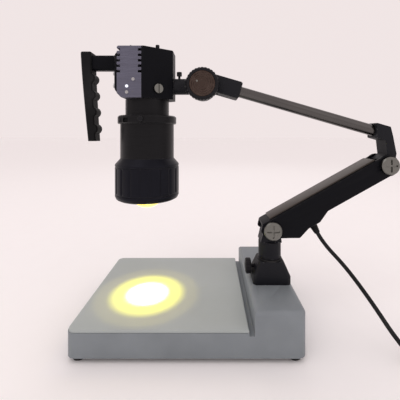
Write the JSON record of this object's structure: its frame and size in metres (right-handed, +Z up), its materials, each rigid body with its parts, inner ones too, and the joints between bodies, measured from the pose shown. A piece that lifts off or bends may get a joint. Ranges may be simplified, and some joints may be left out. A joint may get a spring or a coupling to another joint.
{
  "type": "tabletop viewing stand with lit optical head",
  "caption": "Bench viewing stand: a lit, focusing optical head with a finger grip on a jointed arm over a flat stage and heavy base, with a low-voltage cord.",
  "frame": {"origin": "middle of the base in plan, at the height of the stage's top face", "axes": "+X from the stage towards the arm post, +Y to the back, +Z up; the head hangs over the stage on the -X side"},
  "size_m": [0.4727, 0.1972, 0.3501],
  "materials": {
    "base_shell": "moulded shell, blue-grey satin",
    "stage_enamel": "light grey baked enamel",
    "cover_black": "moulded cover",
    "foot_rubber": "soft rubber",
    "ballast_iron": "cast plate",
    "screw_steel": "plated steel",
    "bracket_black": "black crackle coat on a casting",
    "bush_bronze": "plain bronze bush",
    "washer_nylon": "black nylon washer",
    "knob_black": "moulded knob",
    "arm_black": "black powder coat on aluminium",
    "strip_bronze": "dark bronze anodised strip",
    "bolt_chrome": "bright plated bolt",
    "board_green": "circuit board",
    "rod_chrome": "dark bright-plated tube",
    "knob_brown": "dark brown face disc",
    "sink_grey": "grey anodised fins",
    "housing_black": "satin black moulding",
    "barrel_black": "black anodised tube",
    "ring_black": "black anodised ring with flutes",
    "grip_black": "rubber-faced grip",
    "lens_glass": "coated optical glass",
    "filter_amber": "amber filter glass",
    "reflector_bright": "polished reflector",
    "led_amber": "light-emitting chip",
    "pilot_white": "pilot lamp",
    "plug_black": "moulded plug",
    "cord_black": "round flexible cord"
  },
  "bodies": {
    "base": {"base_housing": "base_shell", "stage_plate": "stage_enamel", "bottom_cover": "cover_black", "rubber_feet": "foot_rubber", "cover_screws": "screw_steel", "ballast_plate": "ballast_iron", "arm_bracket": "bracket_black", "bracket_screws": "screw_steel", "swivel_bush": "bush_bronze"},
    "clamp": {"clamp_knob": "knob_black"},
    "post": {"swivel_post": "bracket_black", "post_collar": "washer_nylon", "post_washer": "screw_steel", "post_screw": "screw_steel", "cord_tube": "cord_black", "cord_coil": "cord_black", "cord_tie": "knob_black", "cord_tail": "cord_black", "dc_plug": "plug_black"},
    "lower_arm": {"arm_shell": "arm_black", "arm_strip": "strip_bronze", "pivot_bolts": "bolt_chrome", "pivot_nuts": "screw_steel", "friction_washers": "washer_nylon", "driver_board": "board_green", "cord_gland": "cord_black"},
    "upper_arm": {"elbow_bracket": "bracket_black", "upper_rod": "rod_chrome", "rod_connector": "bracket_black", "tilt_bolt": "screw_steel"},
    "knob": {"tilt_knob": "knob_black", "knob_cap": "knob_brown"},
    "lug": {"tilt_lug": "bracket_black", "shaft_clip": "screw_steel"},
    "head": {"heat_sink": "sink_grey", "head_housing": "housing_black", "housing_screws": "bolt_chrome", "roll_collar": "bracket_black", "lamp_module": "led_amber", "switch_bush": "screw_steel", "pilot_lamp": "pilot_white", "sink_screws": "screw_steel", "handle_plate": "housing_black", "handle_screws": "screw_steel", "handle_grip": "grip_black", "handle_bridge": "housing_black", "neck": "barrel_black", "reflector": "reflector_bright", "condenser_lens": "lens_glass", "barrel": "barrel_black", "barrel_screw": "knob_black", "filter_glass": "filter_amber", "filter_ring": "barrel_black"},
    "roll_lock": {"roll_screw": "knob_black"},
    "switch": {"switch_lever": "bolt_chrome"},
    "button": {"dimmer_button": "knob_black"},
    "focus": {"focus_ring": "ring_black"},
    "lens": {"lens_cell": "barrel_black", "objective_lens": "lens_glass", "lens_retainer": "screw_steel"}
  },
  "joints": [
    {"name": "post_swivel", "type": "hinge", "parent": "base", "child": "post", "pos_m": [0.1, -0.018, 0.0455], "axis": [0, 0, 1], "range_deg": [-90, 90]},
    {"name": "clamp_turn", "type": "hinge", "parent": "base", "child": "clamp", "pos_m": [0.077, -0.018, 0.0355], "axis": [-1, 0, 0], "range_deg": [0, 360]},
    {"name": "shoulder", "type": "hinge", "parent": "post", "child": "lower_arm", "pos_m": [0.1007, -0.018, 0.0845], "axis": [0, -1, 0], "range_deg": [-20, 30], "deforming": ["cord_tube"]},
    {"name": "elbow", "type": "hinge", "parent": "lower_arm", "child": "upper_arm", "pos_m": [0.24299, -0.018, 0.16402], "axis": [0, -1, 0], "range_deg": [-40, 15]},
    {"name": "knob_turn", "type": "hinge", "parent": "upper_arm", "child": "knob", "pos_m": [0.01507, -0.0314, 0.26273], "axis": [0, -1, 0], "range_deg": [0, 360]},
    {"name": "head_tilt", "type": "hinge", "parent": "upper_arm", "child": "lug", "pos_m": [0.01507, -0.018, 0.26273], "axis": [0, -1, 0], "range_deg": [-40, 40]},
    {"name": "head_roll", "type": "hinge", "parent": "lug", "child": "head", "pos_m": [-0.02133, -0.018, 0.26273], "axis": [1, 0, 0], "range_deg": [-45, 45]},
    {"name": "roll_lock_turn", "type": "hinge", "parent": "head", "child": "roll_lock", "pos_m": [-0.01483, -0.018, 0.27273], "axis": [0, 0, 1], "range_deg": [0, 360]},
    {"name": "switch_toggle", "type": "hinge", "parent": "head", "child": "switch", "pos_m": [-0.0767, -0.018, 0.30743], "axis": [0, 1, 0], "range_deg": [-12, 12]},
    {"name": "dimmer_press", "type": "slide", "parent": "head", "child": "button", "axis": [0, 0, -1], "range_m": [0, 0.0012], "stiffness_N_per_m": 300, "springref_m": -0.0006},
    {"name": "focus_turn", "type": "hinge", "parent": "head", "child": "focus", "pos_m": [-0.05533, -0.018, 0.12123], "axis": [0, 0, 1], "range_deg": [-90, 90]},
    {"name": "lens_focus", "type": "slide", "parent": "head", "child": "lens", "axis": [0, 0, 1], "range_m": [-0.00305, 0.00305]}
  ],
  "couplings": [
    {"joint": "lens_focus", "follows": "focus_turn", "m_per_rad": 0.0019099}
  ]
}
